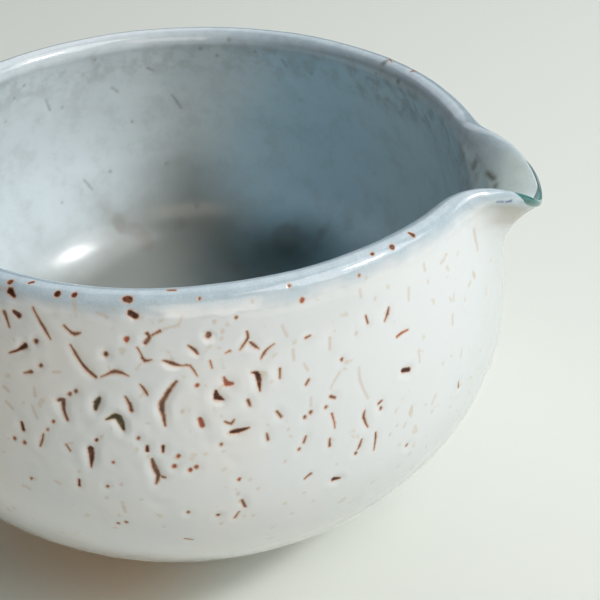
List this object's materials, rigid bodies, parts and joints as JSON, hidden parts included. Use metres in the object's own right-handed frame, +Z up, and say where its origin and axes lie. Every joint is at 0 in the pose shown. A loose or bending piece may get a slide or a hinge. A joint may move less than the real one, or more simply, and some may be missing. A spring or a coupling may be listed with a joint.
{
  "type": "tea pitcher",
  "caption": "Round, handleless stoneware tea pitcher with a crawled white glaze, a pulled pouring lip and a turned foot ring, for cooling and sharing tea.",
  "frame": {"origin": "middle of the pitcher's bounding box, on the table under the foot ring", "axes": "+Z up out of the mouth, +X the way the lip pours"},
  "size_m": [0.1136, 0.1106, 0.0667],
  "materials": {
    "bare_clay": "unglazed iron-bearing stoneware, fired matt brown",
    "white_glaze": "thick glossy white glaze that crawled into slits, pits and hooks with brown clay showing in them",
    "inner_glaze": "the same glaze, thinner and bluer, glossy",
    "rim_glaze": "glossy blue-grey where the glaze runs thin over the rim, speckled with brown",
    "green_glass": "wet-looking green glass that pooled on the edge of the lip"
  },
  "bodies": {
    "root": {"clay_body": "bare_clay", "foot_ring": "bare_clay", "outer_glaze": "white_glaze", "rim_glaze": "rim_glaze", "inner_glaze": "inner_glaze", "lip_bead": "green_glass"}
  },
  "joints": []
}
